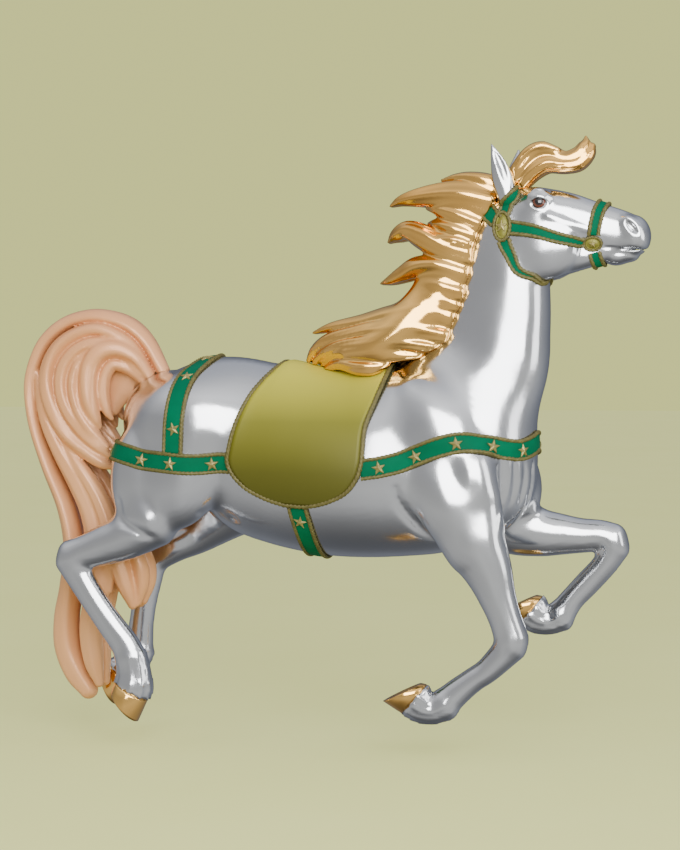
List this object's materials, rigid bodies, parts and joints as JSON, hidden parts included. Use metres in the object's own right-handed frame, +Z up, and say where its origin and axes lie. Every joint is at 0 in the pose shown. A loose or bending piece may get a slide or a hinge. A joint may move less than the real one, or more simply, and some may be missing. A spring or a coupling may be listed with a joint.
{
  "type": "carousel horse",
  "caption": "Jumping carousel horse with a flowing mane and tail, a rope-edged saddle blanket and starred straps, held by a pole under the belly.",
  "frame": {"origin": "middle of the round flat under the belly, where the carousel's pole carries the horse", "axes": "+X the way the horse faces, +Z up, -Y its right side, the show side of the picture"},
  "size_m": [1.5561, 0.3992, 1.4118],
  "materials": {
    "chrome": "mirror polished",
    "gold": "mirror polished gilt",
    "tail": "satin peach paint",
    "blanket": "satin olive paint",
    "rope": "satin khaki paint",
    "strap": "satin metallic green",
    "star": "satin khaki gold",
    "rosette": "satin olive gold",
    "eye": "glossy dark brown"
  },
  "bodies": {
    "root": {"horse_body": "chrome", "mane": "gold", "forelock": "gold", "tail": "tail", "hoof_front_right": "gold", "hoof_front_left": "gold", "hoof_rear_right": "gold", "hoof_rear_left": "gold", "saddle_blanket": "blanket", "blanket_trim": "rope", "breast_strap": "strap", "hip_strap": "strap", "croup_strap": "strap", "girth": "strap", "oval_rosette_right": "rosette", "oval_rosette_left": "rosette", "round_rosette_right": "rosette", "round_rosette_left": "rosette", "throat_latch": "strap", "noseband": "strap", "chin_strap": "strap", "cheek_strap_right": "strap", "cheek_strap_left": "strap", "brow_band_right": "strap", "brow_band_left": "strap", "crown_strap_right": "strap", "crown_strap_left": "strap", "eye_right": "eye", "eye_left": "eye", "star_breast_01": "star", "star_breast_02": "star", "star_breast_03": "star", "star_breast_04": "star", "star_breast_05": "star", "star_breast_06": "star", "star_breast_07": "star", "star_breast_08": "star", "star_breast_09": "star", "star_breast_10": "star", "star_hip_01": "star", "star_hip_02": "star", "star_hip_03": "star", "star_hip_04": "star", "star_hip_05": "star", "star_hip_06": "star", "star_hip_07": "star", "star_hip_08": "star", "star_croup_01": "star", "star_croup_02": "star", "star_croup_03": "star", "star_croup_04": "star", "star_croup_05": "star", "star_croup_06": "star", "star_girth_01": "star", "star_girth_02": "star", "star_oval_right": "star", "star_oval_left": "star", "star_round_right": "star", "star_round_left": "star"}
  },
  "joints": []
}
